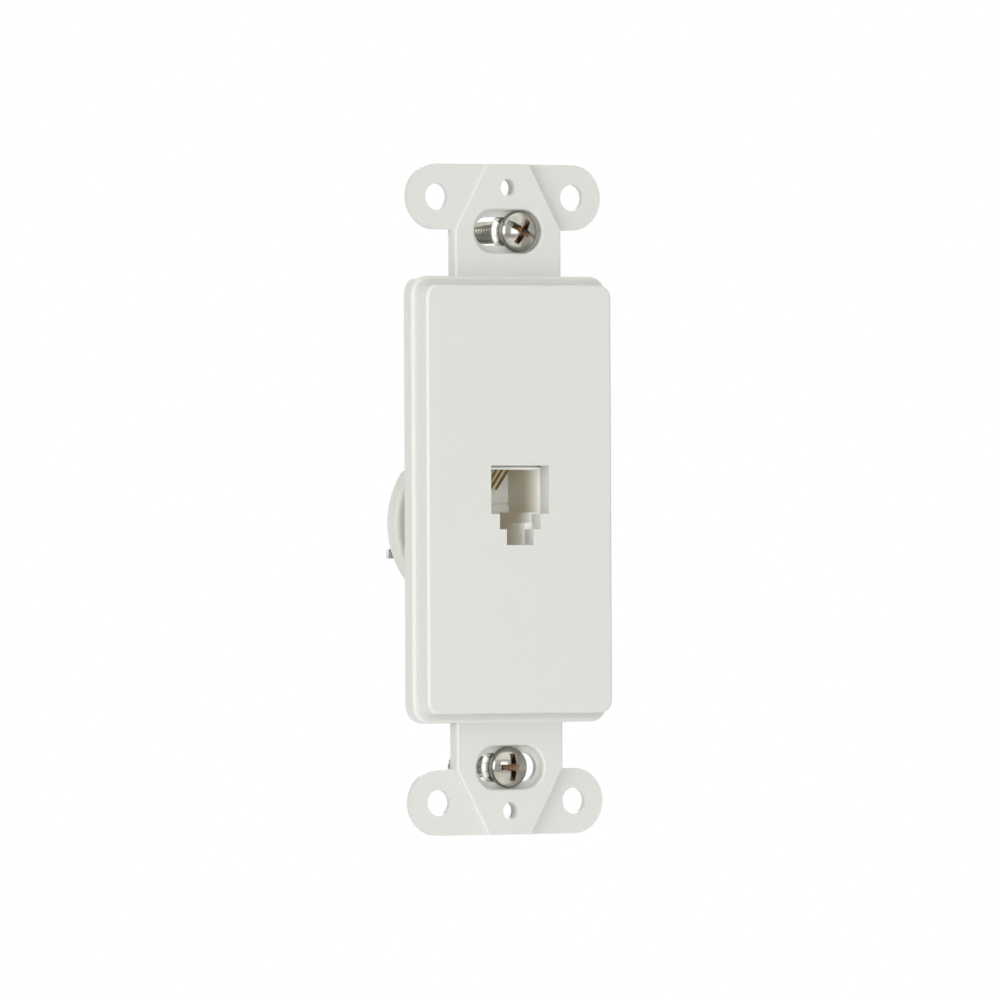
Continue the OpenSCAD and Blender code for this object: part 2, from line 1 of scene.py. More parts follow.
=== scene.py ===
# %% [markdown]
# # A telephone wall socket, dressed for the studio
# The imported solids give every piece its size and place. This lesson puts finishes on them, remakes the
# small pieces whose detail is finer than the solids hold, and sets the camera and the light.
# Lengths are metres, apart from the wires and the lugs, whose sizes are written in millimetres.
# X runs right seen from the front, Z runs up and Y runs into the wall.

# %% Load the frame
import math

import bmesh
import bpy
from mathutils import Matrix, Vector


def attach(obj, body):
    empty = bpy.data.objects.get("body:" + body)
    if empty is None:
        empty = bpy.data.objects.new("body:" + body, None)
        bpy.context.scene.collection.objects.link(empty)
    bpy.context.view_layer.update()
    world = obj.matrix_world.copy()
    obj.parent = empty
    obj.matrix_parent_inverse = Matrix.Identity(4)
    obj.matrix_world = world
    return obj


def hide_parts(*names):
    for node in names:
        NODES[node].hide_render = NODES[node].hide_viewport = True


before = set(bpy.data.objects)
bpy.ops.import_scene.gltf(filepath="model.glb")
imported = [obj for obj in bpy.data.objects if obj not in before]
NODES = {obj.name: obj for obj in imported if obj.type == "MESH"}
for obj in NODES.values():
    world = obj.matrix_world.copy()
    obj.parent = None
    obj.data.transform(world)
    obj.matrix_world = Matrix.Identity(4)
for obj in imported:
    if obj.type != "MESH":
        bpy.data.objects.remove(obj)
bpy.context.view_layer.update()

SCENE = bpy.context.scene
MM = 0.001

# %% [markdown]
# ## The camera
# The photograph was taken from a little under two metres with a long lens, so the sides of the socket
# hardly converge. Real distances on the strap fixed the angle, the distance and the lens. The camera
# moves a little sideways to put the socket's middle where the photograph has it, with no lens shift.

# %% Place the camera
AZIMUTH = math.radians(30.7)
ELEVATION = math.radians(-0.13)
ROLL = math.radians(-0.233)
DISTANCE = 1.906
SENSOR = 36.0
PHOTO_SIZE = 1000.0
FOCAL_PIXELS = 12253.0
MIDDLE_IN_PHOTO = (502.17, 499.40)
NEAR_CLIP = 0.05


def camera_axes():
    """Right, up and back directions of the photograph's camera."""
    level = math.cos(ELEVATION)
    back = Vector((-math.sin(AZIMUTH) * level, -math.cos(AZIMUTH) * level, math.sin(ELEVATION)))
    flat = Vector((math.cos(AZIMUTH), -math.sin(AZIMUTH), 0))
    rise = back.cross(flat)
    right = math.cos(ROLL) * flat + math.sin(ROLL) * rise
    return right, back.cross(right), back


def make_camera():
    """A camera that frames the socket as the photograph does."""
    right, up, back = camera_axes()
    per_pixel = DISTANCE / FOCAL_PIXELS
    side = (MIDDLE_IN_PHOTO[0] - PHOTO_SIZE / 2) * per_pixel
    rise = (PHOTO_SIZE / 2 - MIDDLE_IN_PHOTO[1]) * per_pixel
    data = bpy.data.cameras.new("photo_camera")
    data.sensor_width = SENSOR
    data.lens = FOCAL_PIXELS * SENSOR / PHOTO_SIZE
    data.clip_start = NEAR_CLIP
    camera = bpy.data.objects.new("photo_camera", data)
    turn = Matrix((right, up, back)).transposed().to_4x4()
    camera.matrix_world = Matrix.Translation(DISTANCE * back - side * right - rise * up) @ turn
    SCENE.collection.objects.link(camera)
    SCENE.camera = camera
    print("camera lens:", round(data.lens, 1), "mm at", camera.location)


make_camera()

# %% [markdown]
# ## The world
# The photograph has a white background and very soft light, mostly from the front and the left. A world
# with two strengths gives both: full white where the camera looks, directly or in a reflection, and a
# weaker white as a light, so pale plastic keeps its colour. The Light Path node tells the rays apart.

# %% World
AMBIENT = 0.34


def link(tree, out_node, out_name, in_node, in_name):
    """Joins two nodes by the names of their sockets."""
    tree.links.new(out_node.outputs[out_name], in_node.inputs[in_name])


def add(tree, kind, **settings):
    """A new node with some of its properties set."""
    node = tree.nodes.new(kind)
    for key, value in settings.items():
        setattr(node, key, value)
    return node


def seen_rays(tree):
    """One for what the camera sees, directly, in a reflection or through glass."""
    rays = add(tree, "ShaderNodeLightPath")
    seen = add(tree, "ShaderNodeMath", operation="MAXIMUM")
    shown = add(tree, "ShaderNodeMath", operation="MAXIMUM")
    link(tree, rays, "Is Camera Ray", seen, 0)
    link(tree, rays, "Is Glossy Ray", seen, 1)
    link(tree, seen, "Value", shown, 0)
    link(tree, rays, "Is Transmission Ray", shown, 1)
    return shown


def make_world():
    """White to the camera and in reflections, softer as a light."""
    world = bpy.data.worlds.new("studio")
    SCENE.world = world
    world.use_nodes = True
    tree = world.node_tree
    tree.nodes.clear()
    shown = seen_rays(tree)
    light = add(tree, "ShaderNodeBackground")
    white = add(tree, "ShaderNodeBackground")
    for background, strength in ((light, AMBIENT), (white, 1.0)):
        background.inputs["Strength"].default_value = strength
        background.inputs["Color"].default_value = (1, 1, 1, 1)
    mix = add(tree, "ShaderNodeMixShader")
    link(tree, shown, "Value", mix, "Fac")
    link(tree, light, "Background", mix, 1)
    link(tree, white, "Background", mix, 2)
    link(tree, mix, "Shader", add(tree, "ShaderNodeOutputWorld"), "Surface")


make_world()
SCENE.view_settings.view_transform = "Standard"
print("ambient light:", AMBIENT)

# %% [markdown]
# ## Soft boxes
# A soft box is a square area lamp. The larger it is, the softer its shadow and the weaker its reflection
# in metal. The front one reaches into the plug opening. Those at the left, above and below keep the
# narrow edges bright, and the rear one lights the terminals for a view from the back.

# %% Lamps
def make_lamp(name, place, size, power):
    """A square soft box that faces the origin."""
    data = bpy.data.lights.new(name, "AREA")
    data.shape = "SQUARE"
    data.size = size
    data.energy = power
    lamp = bpy.data.objects.new(name, data)
    lamp.location = place
    lamp.rotation_euler = Vector(place).to_track_quat("Z", "Y").to_euler()
    SCENE.collection.objects.link(lamp)
    print("lamp", name, "power", power)


make_lamp("front_lamp", (-0.35, -1.70, 0.20), 0.9, 7.5)
make_lamp("left_lamp", (-1.62, -0.62, 0.25), 1.0, 15.5)
make_lamp("top_lamp", (-0.10, -0.50, 1.38), 2.3, 17.0)
make_lamp("low_lamp", (-0.10, -0.24, -0.54), 1.0, 2.6)
make_lamp("rear_lamp", (0.80, 1.60, 0.50), 1.0, 14.0)

# %% [markdown]
# ## The floor
# A sheet of pale paper lies well below the socket. A share of plain white is mixed in where the camera
# sees it, so that it looks pale from above and lights the socket no more than real paper would.

# %% Floor
FLOOR_DROP = 0.60
FLOOR_HALF = 6.0
FLOOR_WHITE = 0.65
FLOOR_GRAIN = 900.0
FLOOR_TONES = (0.84, 0.87)
FLOOR_ROUGHNESS = 0.85


def new_material(name):
    """A node material, its tree and its shader."""
    material = bpy.data.materials.new(name)
    material.use_nodes = True
    return material, material.node_tree, material.node_tree.nodes["Principled BSDF"]


def floor_paper():
    """Pale paper with a faint grain, partly plain white where the camera sees it."""
    material, tree, shader = new_material("floor_paper")
    grain = add(tree, "ShaderNodeTexNoise")
    grain.inputs["Scale"].default_value = FLOOR_GRAIN
    link(tree, add(tree, "ShaderNodeTexCoord"), "Object", grain, "Vector")
    tone = add(tree, "ShaderNodeMapRange")
    tone.inputs["To Min"].default_value, tone.inputs["To Max"].default_value = FLOOR_TONES
    link(tree, grain, "Fac", tone, "Value")
    link(tree, tone, "Result", shader, "Base Color")
    shader.inputs["Roughness"].default_value = FLOOR_ROUGHNESS
    share = add(tree, "ShaderNodeMath", operation="MULTIPLY")
    share.inputs[1].default_value = FLOOR_WHITE
    link(tree, seen_rays(tree), "Value", share, 0)
    mix = add(tree, "ShaderNodeMixShader")
    link(tree, share, "Value", mix, "Fac")
    link(tree, shader, "BSDF", mix, 1)
    link(tree, add(tree, "ShaderNodeEmission"), "Emission", mix, 2)
    link(tree, mix, "Shader", tree.nodes["Material Output"], "Surface")
    return material


def make_floor():
    """A pale sheet far below the socket, outside the photograph's view."""
    mesh = bpy.data.meshes.new("floor")
    turns = [(-1, -1), (1, -1), (1, 1), (-1, 1)]
    corners = [(x * FLOOR_HALF, y * FLOOR_HALF, -FLOOR_DROP) for x, y in turns]
    mesh.from_pydata(corners, [], [(0, 1, 2, 3)])
    mesh.materials.append(floor_paper())
    floor = bpy.data.objects.new("floor", mesh)
    SCENE.collection.objects.link(floor)


make_floor()
print("floor:", FLOOR_DROP, "below the socket's middle")

# %% [markdown]
# ## Finishes
# Every finish is a small node tree on Object coordinates. What several finishes share, such as the
# faint mottle of moulded plastic, is a shader node group with named inputs, placed in each material
# with its own values. The group gives out colours, masks and heights. The shader stays outside it.

# %% Helpers for node trees
def group_tree(name, inputs, outputs):
    """A shader node group with named sockets, and its two end nodes."""
    tree = bpy.data.node_groups.new(name, "ShaderNodeTree")
    for label, kind, value in inputs:
        tree.interface.new_socket(label, in_out="INPUT", socket_type=kind).default_value = value
    for label, kind in outputs:
        tree.interface.new_socket(label, in_out="OUTPUT", socket_type=kind)
    return tree, tree.nodes.new("NodeGroupInput"), tree.nodes.new("NodeGroupOutput")


def feed(tree, value, socket):
    """Gives a socket a link or a plain value."""
    if isinstance(value, bpy.types.NodeSocket):
        tree.links.new(value, socket)
    else:
        socket.default_value = value


def noise(tree, scale, detail=3.0, roughness=0.5):
    """Noise over the object's own coordinates."""
    node = add(tree, "ShaderNodeTexNoise")
    link(tree, add(tree, "ShaderNodeTexCoord"), "Object", node, "Vector")
    node.inputs["Detail"].default_value = detail
    node.inputs["Roughness"].default_value = roughness
    feed(tree, scale, node.inputs["Scale"])
    return node.outputs["Fac"]


def blend_colours(tree, factor, first, second):
    """Mixes two colours, plain or linked, by a factor."""
    node = add(tree, "ShaderNodeMix", data_type="RGBA")
    colours = [socket for socket in node.inputs if socket.type == "RGBA"]
    tree.links.new(factor, node.inputs["Factor"])
    feed(tree, first, colours[0])
    feed(tree, second, colours[1])
    return next(socket for socket in node.outputs if socket.type == "RGBA")


def spread(tree, value, low, high, start=0.0, end=1.0):
    """Maps start..end to low..high."""
    node = add(tree, "ShaderNodeMapRange")
    node.inputs["From Min"].default_value = start
    node.inputs["From Max"].default_value = end
    tree.links.new(value, node.inputs["Value"])
    feed(tree, low, node.inputs["To Min"])
    feed(tree, high, node.inputs["To Max"])
    return node.outputs["Result"]


def put_bump(tree, shader, height, distance):
    """Bump from a height socket, in metres."""
    bump = add(tree, "ShaderNodeBump")
    bump.inputs["Distance"].default_value = distance
    tree.links.new(height, bump.inputs["Height"])
    link(tree, bump, "Normal", shader, "Normal")


print("helpers for node trees ready")

# %% [markdown]
# Moulded plastic looks even, yet it isn't flat: the colour drifts slightly over a few millimetres, and
# the skin has a fine orange peel that softens reflections. One group makes both, and paints shade into
# the grooves, darkening them a touch where shadow falls. Pointiness finds them.

# %% Group for moulded plastic
# Painted shade in the grooves: how much darker, at which pointiness, and its tint.
CORNER_SHADE = 0.15
CORNER_RANGE = (0.44, 0.5)
CORNER_SHADE_TINT = (0.86, 0.84, 0.78)
PLASTIC_SPECULAR = 0.45
PEEL_HEIGHT = 0.004 * MM


def moulded_group():
    """Colour with painted shade in the grooves, roughness and height of a moulded skin."""
    tree, start, end = group_tree("moulded_skin", [
        ("Colour", "NodeSocketColor", (0.8, 0.8, 0.8, 1)),
        ("Shade", "NodeSocketColor", (0.7, 0.7, 0.7, 1)),
        ("Corner Shade", "NodeSocketColor", (0.6, 0.58, 0.52, 1)),
        ("Drift Scale", "NodeSocketFloat", 60.0),
        ("Peel Scale", "NodeSocketFloat", 2500.0),
        ("Gloss Low", "NodeSocketFloat", 0.35),
        ("Gloss High", "NodeSocketFloat", 0.45)],
        [("Colour", "NodeSocketColor"), ("Roughness", "NodeSocketFloat"), ("Height", "NodeSocketFloat")])
    drift = noise(tree, start.outputs["Drift Scale"], 4.0, 0.6)
    peel = noise(tree, start.outputs["Peel Scale"], 2.0, 0.5)
    skin = blend_colours(tree, drift, start.outputs["Shade"], start.outputs["Colour"])
    shape = add(tree, "ShaderNodeNewGeometry")
    # Painted shade: the grooves that pointiness finds are darkened towards the corner shade colour.
    corner = spread(tree, shape.outputs["Pointiness"], CORNER_SHADE, 0.0, *CORNER_RANGE)
    colour = blend_colours(tree, corner, skin, start.outputs["Corner Shade"])
    rough = spread(tree, peel, start.outputs["Gloss Low"], start.outputs["Gloss High"])
    tree.links.new(colour, end.inputs["Colour"])
    tree.links.new(rough, end.inputs["Roughness"])
    tree.links.new(peel, end.inputs["Height"])
    return tree


MOULDED = moulded_group()


def plastic(name, colour, shade_by, peel, gloss):
    """Moulded plastic: the group's colour, roughness and peel on one shader."""
    material, tree, shader = new_material(name)
    skin = add(tree, "ShaderNodeGroup", node_tree=MOULDED)
    skin.inputs["Colour"].default_value = (*colour, 1)
    skin.inputs["Shade"].default_value = (*[c * shade_by for c in colour], 1)
    # The corner shade colour is a darker tint of the plastic, painted into grooves as shade.
    skin.inputs["Corner Shade"].default_value = (*[c * t for c, t in zip(colour, CORNER_SHADE_TINT)], 1)
    skin.inputs["Peel Scale"].default_value = peel
    skin.inputs["Gloss Low"].default_value, skin.inputs["Gloss High"].default_value = gloss
    link(tree, skin, "Colour", shader, "Base Color")
    link(tree, skin, "Roughness", shader, "Roughness")
    shader.inputs["Specular IOR Level"].default_value = PLASTIC_SPECULAR
    put_bump(tree, shader, skin.outputs["Height"], PEEL_HEIGHT)
    return material


print("shared group:", MOULDED.name)

# %% [markdown]
# The walls of the plug cavity that run along Y get painted shade, darker and warmer deeper in, broken
# by faint streaks along Y. A second group makes that mask from the depth along Y, the surface's own
# direction and a noise stretched along Y, and keeps it inside the cavity. Only the jack uses it.

# %% Group for painted shade on cavity walls
STREAK_STRETCH = (1.0, 0.12, 1.0)
STREAK_CONTRAST = (0.93, 1.0)
STREAK_RANGE = (0.35, 0.65)
WALL_RANGE = (0.2, 0.8)


def within(tree, value, middle, reach):
    """One where a value lies within reach of the middle."""
    node = add(tree, "ShaderNodeMath", operation="COMPARE")
    tree.links.new(value, node.inputs[0])
    feed(tree, middle, node.inputs[1])
    feed(tree, reach, node.inputs[2])
    return node.outputs["Value"]


def painted_cavity_shade():
    """A mask of painted shade on the cavity's walls that run along Y, stronger deeper in."""
    tree, start, end = group_tree("cavity_shade", [
        ("Clear Until", "NodeSocketFloat", -0.0018), ("Full From", "NodeSocketFloat", 0.0015),
        ("Back Wall", "NodeSocketFloat", 0.0070),
        ("Half Width", "NodeSocketFloat", 0.0054), ("Height Middle", "NodeSocketFloat", -0.00125),
        ("Half Height", "NodeSocketFloat", 0.0064),
        ("Streak Scale", "NodeSocketFloat", 2600.0)], [("Mask", "NodeSocketFloat")])
    place = add(tree, "ShaderNodeTexCoord")
    where, facing = add(tree, "ShaderNodeSeparateXYZ"), add(tree, "ShaderNodeSeparateXYZ")
    link(tree, place, "Object", where, "Vector")
    link(tree, place, "Normal", facing, "Vector")
    depth = add(tree, "ShaderNodeMapRange")
    link(tree, where, "Y", depth, "Value")
    link(tree, start, "Clear Until", depth, "From Min")
    link(tree, start, "Full From", depth, "From Max")
    front = add(tree, "ShaderNodeMath", operation="ABSOLUTE")
    link(tree, facing, "Y", front, 0)
    wall = spread(tree, front.outputs["Value"], 1.0, 0.0, *WALL_RANGE)
    stretched = add(tree, "ShaderNodeMapping")
    stretched.inputs["Scale"].default_value = STREAK_STRETCH
    link(tree, place, "Object", stretched, "Vector")
    streak = add(tree, "ShaderNodeTexNoise")
    link(tree, stretched, "Vector", streak, "Vector")
    link(tree, start, "Streak Scale", streak, "Scale")
    lines = spread(tree, streak.outputs["Fac"], *STREAK_CONTRAST, *STREAK_RANGE)
    across = within(tree, where.outputs["X"], 0.0, start.outputs["Half Width"])
    upright = within(tree, where.outputs["Z"], start.outputs["Height Middle"], start.outputs["Half Height"])
    before = add(tree, "ShaderNodeMath", operation="LESS_THAN")
    link(tree, where, "Y", before, 0)
    link(tree, start, "Back Wall", before, 1)
    # Painted shade: stronger deeper in, on walls along Y, inside the cavity, with faint streaks.
    mask = depth.outputs["Result"]
    for part in (wall, lines, across, upright, before.outputs["Value"]):
        product = add(tree, "ShaderNodeMath", operation="MULTIPLY")
        tree.links.new(mask, product.inputs[0])
        tree.links.new(part, product.inputs[1])
        mask = product.outputs["Value"]
    tree.links.new(mask, end.inputs["Mask"])
    return tree


CAVITY_SHADE_GROUP = painted_cavity_shade()
print("shared group:", CAVITY_SHADE_GROUP.name)

# %% [markdown]
# The painted shade lies over the plastic's own colour, so it is mixed in last. The jack keeps its
# mottle, and only the walls of its cavity grow darker and warmer.

# %% Painted shade over a plastic
def shade_in_cavity(material, shade_colour):
    """Mixes the painted shade colour into a plastic's colour by the cavity mask."""
    tree = material.node_tree
    shader = tree.nodes["Principled BSDF"]
    skin = shader.inputs["Base Color"].links[0].from_socket
    mask = add(tree, "ShaderNodeGroup", node_tree=CAVITY_SHADE_GROUP)
    shaded = blend_colours(tree, mask.outputs["Mask"], skin, (*shade_colour, 1))
    tree.links.new(shaded, shader.inputs["Base Color"])


print("the painted shade takes its place from the inputs of", CAVITY_SHADE_GROUP.name)

# %% [markdown]
# The colours were matched to the photograph and allow for its light. The frame is a cool white, the jack
# and the terminal base are a warmer one, and the four leads have the usual black, red, green and yellow.

# %% Plastics
WHITE_PLASTIC = (0.59, 0.597, 0.563)
JACK_PLASTIC = (0.86, 0.862, 0.815)
BASE_PLASTIC = (0.62, 0.61, 0.56)
# The cavity colour is painted shade, darker and warmer, for the deep walls of the plug cavity.
CAVITY_SHADE_COLOUR = (0.70, 0.65, 0.54)
LEAD_COLOURS = {"black": (0.012, 0.012, 0.013), "red": (0.42, 0.018, 0.014),
                "green": (0.012, 0.14, 0.035), "yellow": (0.70, 0.46, 0.03)}

white_plastic = plastic("white_plastic", WHITE_PLASTIC, 0.985, 1800.0, (0.38, 0.5))
jack_plastic = plastic("jack_plastic", JACK_PLASTIC, 0.97, 1600.0, (0.42, 0.55))
base_plastic = plastic("base_plastic", BASE_PLASTIC, 0.97, 1600.0, (0.42, 0.55))
shade_in_cavity(jack_plastic, CAVITY_SHADE_COLOUR)
insulation = {name: plastic(name + "_insulation", colour, 0.9, 3000.0, (0.35, 0.5))
              for name, colour in LEAD_COLOURS.items()}
print("plastics:", 3 + len(insulation))

# %% [markdown]
# Nickel plate is a bright mirror with a faint warm cast. Handling leaves thin patches that are a little
# duller, and the hollows of the drive get painted shade. One group mixes the clean and the worn colour
# by a patchy mask, and darkens it by how hollow the surface is.

# %% Group for plated metal
PATCH_RANGE = (0.42, 0.68)
# Painted shade in hollows: how much darker, and at which pointiness.
HOLLOW_SHADE = 0.8
HOLLOW_RANGE = (0.40, 0.49)
GRAIN_SCALE = 6000.0
GRAIN_HEIGHT = 0.002 * MM


def plated_group():
    """Colour with painted shade in hollows, roughness and height of worn plate."""
    tree, start, end = group_tree("plated_metal", [
        ("Clean", "NodeSocketColor", (0.6, 0.6, 0.6, 1)),
        ("Worn", "NodeSocketColor", (0.4, 0.38, 0.34, 1)),
        ("Hollow Shade", "NodeSocketColor", (0.16, 0.09, 0.05, 1)),
        ("Patch Scale", "NodeSocketFloat", 400.0),
        ("Smooth", "NodeSocketFloat", 0.12),
        ("Dull", "NodeSocketFloat", 0.3)],
        [("Colour", "NodeSocketColor"), ("Roughness", "NodeSocketFloat"), ("Height", "NodeSocketFloat")])
    patch = noise(tree, start.outputs["Patch Scale"], 5.0, 0.6)
    fine = noise(tree, GRAIN_SCALE, 2.0, 0.5)
    mask = spread(tree, patch, 0.0, 1.0, *PATCH_RANGE)
    plate = blend_colours(tree, mask, start.outputs["Clean"], start.outputs["Worn"])
    shape = add(tree, "ShaderNodeNewGeometry")
    # Painted shade: hollows that pointiness finds are darkened towards a dark brown.
    hollow = spread(tree, shape.outputs["Pointiness"], HOLLOW_SHADE, 0.0, *HOLLOW_RANGE)
    colour = blend_colours(tree, hollow, plate, start.outputs["Hollow Shade"])
    rough = spread(tree, mask, start.outputs["Smooth"], start.outputs["Dull"])
    tree.links.new(colour, end.inputs["Colour"])
    tree.links.new(rough, end.inputs["Roughness"])
    tree.links.new(fine, end.inputs["Height"])
    return tree


PLATED = plated_group()


def metal(name, clean, worn, smooth, dull, patch_scale=400.0):
    """Plated metal with its own colours and gloss."""
    material, tree, shader = new_material(name)
    plate = add(tree, "ShaderNodeGroup", node_tree=PLATED)
    plate.inputs["Clean"].default_value = (*clean, 1)
    plate.inputs["Worn"].default_value = (*worn, 1)
    plate.inputs["Patch Scale"].default_value = patch_scale
    plate.inputs["Smooth"].default_value = smooth
    plate.inputs["Dull"].default_value = dull
    link(tree, plate, "Colour", shader, "Base Color")
    link(tree, plate, "Roughness", shader, "Roughness")
    shader.inputs["Metallic"].default_value = 1.0
    put_bump(tree, shader, plate.outputs["Height"], GRAIN_HEIGHT)
    return material


print("shared group:", PLATED.name)

# %% [markdown]
# Each metal below names its clean colour, its worn colour and how smooth both are. The screws are dull
# nickel, the washers bright zinc, the contacts gold and the lugs tin over brass. The drives of the screws
# are painted dark brown as painted shade.

# %% Metals
plated_steel = metal("plated_steel", (0.325, 0.32, 0.28), (0.215, 0.20, 0.165), 0.16, 0.30)
retainer_steel = metal("retainer_steel", (0.70, 0.715, 0.65), (0.54, 0.55, 0.49), 0.34, 0.46)
washer_zinc = metal("washer_zinc", (0.76, 0.775, 0.785), (0.66, 0.675, 0.685), 0.45, 0.6)
gold_contact = metal("gold_contact", (0.66, 0.44, 0.16), (0.46, 0.29, 0.1), 0.18, 0.3)
tinned_brass = metal("tinned_brass", (0.56, 0.50, 0.36), (0.42, 0.35, 0.22), 0.25, 0.4)
copper_strand = metal("copper_strand", (0.60, 0.28, 0.16), (0.42, 0.19, 0.11), 0.25, 0.4)
# The drive recess of each screw is painted dark brown as painted shade.
recess_shade = metal("recess_shade", (0.24, 0.15, 0.09), (0.13, 0.08, 0.05), 0.3, 0.5, 1500.0)
print("metals ready, the screws' one is", plated_steel.name)

# %% [markdown]
# ## Helpers for meshes
# A modifier is used as a tool here: it is added, the object is evaluated once and keeps the result as
# a plain mesh. Weighted normals let large flat faces stay flat next to small rounded edges.

# %% Helpers for meshes
NORMAL_WEIGHT = 90


def new_object(name, mesh):
    """An object at the origin, in the scene."""
    obj = bpy.data.objects.new(name, mesh)
    SCENE.collection.objects.link(obj)
    return obj


def settle(obj):
    """Applies the modifiers and keeps the result as a plain mesh."""
    held = obj.evaluated_get(bpy.context.evaluated_depsgraph_get())
    mesh = bpy.data.meshes.new_from_object(held)
    obj.modifiers.clear()
    old, obj.data = obj.data, mesh
    bpy.data.meshes.remove(old)
    return obj


def smooth(obj, angle=32):
    """Smooth shading, with edges steeper than the angle kept sharp."""
    obj.data.shade_smooth()
    obj.data.set_sharp_from_angle(angle=math.radians(angle))


def bevel(obj, width, segments=2, angle=30):
    """Rounds the edges that are steeper than the angle."""
    tool = obj.modifiers.new("soft edges", "BEVEL")
    tool.width = width
    tool.segments = segments
    tool.limit_method = "ANGLE"
    tool.angle_limit = math.radians(angle)
    tool.use_clamp_overlap = True
    settle(obj)


def level_normals(obj):
    """Lets large flat faces keep flat shading next to small rounded edges."""
    tool = obj.modifiers.new("level normals", "WEIGHTED_NORMAL")
    tool.weight = NORMAL_WEIGHT
    tool.keep_sharp = True
    settle(obj)


def paint(obj, *materials):
    """Gives the mesh these materials, in this order."""
    obj.data.materials.clear()
    for material in materials:
        obj.data.materials.append(material)


print("helpers for meshes ready")

# %% [markdown]
# ## Pieces in place of solids
# A finished piece is an object of its own, placed in the same frame, which rides on the same body and
# takes the solid's place. The simplest way to make one is to copy the solid, merge its loose triangles
# into flat faces and round its edges a little.

# %% Soften a solid
MERGE_DISTANCE = 0.001 * MM
FLAT_ANGLE = math.radians(0.5)
RIM_ROUND = 0.9 * MM
RIM_SEGMENTS = 6


def in_place_of(obj, node):
    """The piece takes the node's place and rides on the root body. The solid gets the same finish."""
    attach(obj, "root")
    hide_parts(node)
    solid = NODES[node].data
    solid.materials.clear()
    solid.materials.append(obj.data.materials[0])
    return obj


def softened(node, width, segments, material, angle=30, rim=None):
    """A copy of a solid with its triangles merged and its edges rounded a little, its rim more."""
    mesh = NODES[node].data.copy()
    shape = bmesh.new()
    shape.from_mesh(mesh)
    bmesh.ops.remove_doubles(shape, verts=shape.verts, dist=MERGE_DISTANCE)
    bmesh.ops.dissolve_limit(shape, angle_limit=FLAT_ANGLE, verts=shape.verts, edges=shape.edges)
    bmesh.ops.recalc_face_normals(shape, faces=shape.faces)
    if rim:
        bmesh.ops.bevel(shape, geom=rim(shape), offset=RIM_ROUND, segments=RIM_SEGMENTS, profile=0.5,
                        affect="EDGES", clamp_overlap=True)
    shape.to_mesh(mesh)
    shape.free()
    obj = new_object(node + "_finished", mesh)
    bevel(obj, width, segments, angle)
    smooth(obj)
    level_normals(obj)
    paint(obj, material)
    print(obj.name, len(obj.data.polygons), "faces")
    return in_place_of(obj, node)


# %% [markdown]
# ## Plastic mouldings
# The four mouldings are right as solids, but a real mould leaves no edge perfectly sharp. A fine bevel
# of about a tenth of a millimetre makes their edges catch the light. The round terminal base has a
# generous rim at its front, which a wider bevel gives it before the fine one.

# %% Mouldings
def base_rim(shape):
    """The edges round the front of the terminal base: an arc and a flat on top."""
    radius = max(v.co.x for v in shape.verts)
    top = max(v.co.z for v in shape.verts)
    middle = min(v.co.z for v in shape.verts) + radius
    near = 0.03 * MM

    def outer(v):
        return v.co.z > top - near or math.hypot(v.co.x, v.co.z - middle) > radius - near
    front = min(v.co.y for v in shape.verts if outer(v))
    return [e for e in shape.edges if all(outer(v) and v.co.y < front + near for v in e.verts)]


softened("frame_moulding", 0.10 * MM, 2, white_plastic)
softened("jack_housing", 0.12 * MM, 2, jack_plastic)
softened("contact_carrier", 0.06 * MM, 2, jack_plastic)
softened("terminal_base", 0.45 * MM, 4, base_plastic, rim=base_rim)

# %% [markdown]
# ## Sheet metal pieces
# Retainers and clamp washers are stamped from strip. Stamping rounds one edge and leaves a small burr,
# which a narrow bevel shows well enough at this size.

# %% Washers and retainers
STAMPED_ANGLE = 25

for place in ("upper", "lower"):
    softened(f"screw_retainer_{place}", 0.05 * MM, 2, retainer_steel, STAMPED_ANGLE)
for k in range(1, 5):
    softened(f"clamp_washer_{k}", 0.08 * MM, 2, washer_zinc, STAMPED_ANGLE)

# %% [markdown]
# ## Screw heads
# A screw is a revolved head, a drive cut into it and a threaded shank. The head is a shallow dome over
# a short straight rim. Its outline, a list of radius and height, is spun round the Y axis in mesh code,
# with one vertex where it meets the axis, so the poles are closed.

# %% Spin a head
HEAD_STEPS = 72
DOME_SHARE = 0.68
DOME_RINGS = 14
HEAD_EDGE = 0.06 * MM
AXIS_NEAR = 1e-9


def spin(points, steps):
    """A closed surface of revolution about Y from (radius, y) points, both ends on the axis."""
    shape = bmesh.new()
    rings = []
    for radius, y in points:
        if radius < AXIS_NEAR:
            rings.append([shape.verts.new((0, y, 0))])
            continue
        turn = [2 * math.pi * i / steps for i in range(steps)]
        rings.append([shape.verts.new((radius * math.cos(a), y, radius * math.sin(a))) for a in turn])
    for low, high in zip(rings, rings[1:]):
        for i in range(steps):
            j = (i + 1) % steps
            face = [low[i % len(low)], low[j % len(low)], high[j % len(high)], high[i % len(high)]]
            shape.faces.new(list(dict.fromkeys(face)))
    bmesh.ops.recalc_face_normals(shape, faces=shape.faces)
    return shape


def head_outline(head_d, head_h):
    """The dome's outline from its underside to the middle of its front."""
    radius = head_d * DOME_SHARE
    rim = head_d / 2
    rim_top = head_h - radius + math.sqrt(radius ** 2 - rim ** 2)
    points = [(0, 0), (rim - HEAD_EDGE, 0), (rim, -HEAD_EDGE), (rim, -rim_top + 2 * HEAD_EDGE)]
    lift = math.asin((rim - HEAD_EDGE) / radius)
    for i in range(DOME_RINGS + 1):
        a = lift * (1 - i / DOME_RINGS)
        points.append((radius * math.sin(a), -(head_h - radius + radius * math.cos(a))))
    return points


print("head:", HEAD_STEPS, "steps round,", DOME_RINGS, "rings on the dome")

# %% [markdown]
# ## Drives
# The drive takes a flat blade or a cross driver. The slot and the cross are cutters for a boolean,
# because their walls meet the dome along curves that are hard to build by hand. The cross narrows
# towards its floor. Its faces carry the second material, so the recess gets painted shade.

# %% Cut a drive
CROSS_MOUTH = (1.25, 1.05)
CROSS_FLOOR = (0.35, 0.8)


